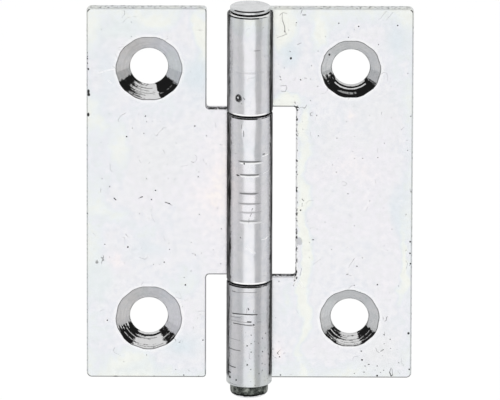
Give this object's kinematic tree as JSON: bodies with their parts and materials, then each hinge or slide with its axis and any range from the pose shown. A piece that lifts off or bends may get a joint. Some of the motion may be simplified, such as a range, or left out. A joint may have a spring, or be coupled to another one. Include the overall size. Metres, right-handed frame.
{
  "type": "narrow hinge",
  "caption": "Narrow butt hinge of rolled zinc-plated steel: flat leaves with countersunk screw holes swing on a headed pin through interlocking knuckles.",
  "frame": {"origin": "on the pin axis, at mid height of the leaves", "axes": "+Z along the pin towards its flat head, +X towards the leaf with the end knuckles, +Y out of the leaves' back faces when the hinge is open flat"},
  "size_m": [0.0338, 0.0048, 0.042],
  "materials": {
    "plated_strip": "bright zinc plating with a pale blue and yellow sheen",
    "pin_steel": "zinc-plated wire, worn darker at the upset end"
  },
  "bodies": {
    "frame_leaf": {"right_leaf": "plated_strip", "hinge_pin": "pin_steel"},
    "door_leaf": {"left_leaf": "plated_strip"}
  },
  "joints": [
    {"name": "leaf_swing", "type": "hinge", "parent": "frame_leaf", "child": "door_leaf", "pos_m": [0, 0, 0], "axis": [0, 0, 1], "range_deg": [-124, 185]}
  ]
}
